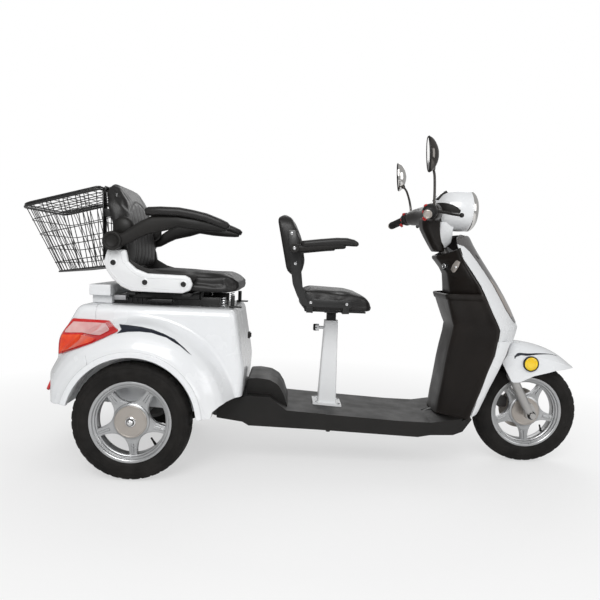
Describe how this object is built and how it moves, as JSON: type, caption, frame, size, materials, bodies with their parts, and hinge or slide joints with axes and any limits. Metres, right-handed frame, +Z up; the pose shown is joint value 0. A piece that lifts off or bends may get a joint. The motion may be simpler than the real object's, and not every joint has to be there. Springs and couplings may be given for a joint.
{
  "type": "three-wheeled electric moped",
  "caption": "Three-wheeled electric moped with a rider's seat, a child's seat on a post, and a rear wire basket with a lid.",
  "frame": {"origin": "on the ground, in the middle of the overall length and width", "axes": "+X forward, +Y the rider's left, +Z up"},
  "size_m": [2.117, 0.74, 1.2074],
  "materials": {
    "white_panel": "glossy",
    "grey_panel": "glossy",
    "black_plastic": "textured",
    "black_frame": "satin",
    "white_metal": "semi-gloss",
    "axle_metal": "satin",
    "spring_metal": "satin",
    "motor_case": "cast",
    "battery_case": "matte",
    "tyre": "matte",
    "cast_wheel": "painted silver",
    "fork_silver": "satin",
    "vinyl": "grained",
    "wire_black": "powder coat",
    "lamp_red": "clear gloss",
    "lamp_amber": "clear gloss",
    "clear_lens": "clear",
    "chrome": "polished",
    "grip_rubber": "ribbed"
  },
  "bodies": {
    "chassis": {"frame_tubes": "black_frame", "rear_axle": "axle_metal", "drive_motor": "motor_case", "rear_springs": "spring_metal", "battery_pack": "battery_case", "rear_body": "white_panel", "tail_lamps": "lamp_red", "seat_rails": "black_frame", "seat_plinth": "white_panel", "footboard": "black_plastic", "child_seat_post": "white_metal", "leg_shield": "black_plastic", "front_cover": "white_panel", "front_trim": "grey_panel", "wheel_liner": "black_plastic"},
    "steering": {"front_fork": "fork_silver", "front_brake": "axle_metal", "handlebar": "black_frame", "handlebar_cover": "black_plastic", "headlamp_housing": "white_panel", "headlamp_ring": "chrome", "headlamp_lens": "clear_lens", "hand_grips": "grip_rubber", "hand_controls": "black_plastic", "mirrors": "black_plastic", "front_fender": "white_panel", "fender_reflectors": "lamp_amber"},
    "front_wheel": {"front_tyre": "tyre", "front_rim": "cast_wheel"},
    "rear_wheel_right": {"rear_tyre_right": "tyre", "rear_rim_right": "cast_wheel"},
    "rear_wheel_left": {"rear_tyre_left": "tyre", "rear_rim_left": "cast_wheel"},
    "main_seat": {"seat_frame": "white_metal", "seat_cushion": "vinyl", "seat_backrest": "vinyl", "basket": "wire_black"},
    "main_armrest_right": {"armrest_right": "black_plastic"},
    "main_armrest_left": {"armrest_left": "black_plastic"},
    "lid": {"basket_lid": "wire_black"},
    "child_seat": {"child_seat_frame": "black_frame", "child_cushion": "vinyl", "child_backrest": "vinyl"},
    "child_arm_right": {"child_armrest_right": "black_plastic"},
    "child_arm_left": {"child_armrest_left": "black_plastic"}
  },
  "joints": [
    {"name": "rear_wheel_right_spin", "type": "hinge", "parent": "chassis", "child": "rear_wheel_right", "pos_m": [-0.6155, -0.326, 0.203], "axis": [0, 1, 0], "continuous": true},
    {"name": "rear_wheel_left_spin", "type": "hinge", "parent": "chassis", "child": "rear_wheel_left", "pos_m": [-0.6155, 0.326, 0.203], "axis": [0, 1, 0], "continuous": true},
    {"name": "steer", "type": "hinge", "parent": "chassis", "child": "steering", "pos_m": [0.4815, 0, 0.867], "axis": [-0.4384, 0, 0.8988], "range_deg": [-35, 35]},
    {"name": "front_wheel_spin", "type": "hinge", "parent": "steering", "child": "front_wheel", "pos_m": [0.8555, 0, 0.203], "axis": [0, 1, 0], "continuous": true},
    {"name": "seat_slide", "type": "slide", "parent": "chassis", "child": "main_seat", "axis": [1, 0, 0], "range_m": [-0.04, 0.06]},
    {"name": "armrest_right_lift", "type": "hinge", "parent": "main_seat", "child": "main_armrest_right", "pos_m": [-0.715, -0.25, 0.808], "axis": [0, -1, 0], "range_deg": [0, 85]},
    {"name": "armrest_left_lift", "type": "hinge", "parent": "main_seat", "child": "main_armrest_left", "pos_m": [-0.715, 0.25, 0.808], "axis": [0, -1, 0], "range_deg": [0, 85]},
    {"name": "lid_lift", "type": "hinge", "parent": "main_seat", "child": "lid", "pos_m": [-0.776, 0, 1.002], "axis": [0, 1, 0], "range_deg": [0, 100]},
    {"name": "child_seat_height", "type": "slide", "parent": "chassis", "child": "child_seat", "axis": [0, 0, 1], "range_m": [0, 0.1]},
    {"name": "child_arm_right_lift", "type": "hinge", "parent": "child_seat", "child": "child_arm_right", "pos_m": [-0.088, -0.232, 0.808], "axis": [0, -1, 0], "range_deg": [0, 85]},
    {"name": "child_arm_left_lift", "type": "hinge", "parent": "child_seat", "child": "child_arm_left", "pos_m": [-0.088, 0.232, 0.808], "axis": [0, -1, 0], "range_deg": [0, 85]}
  ]
}
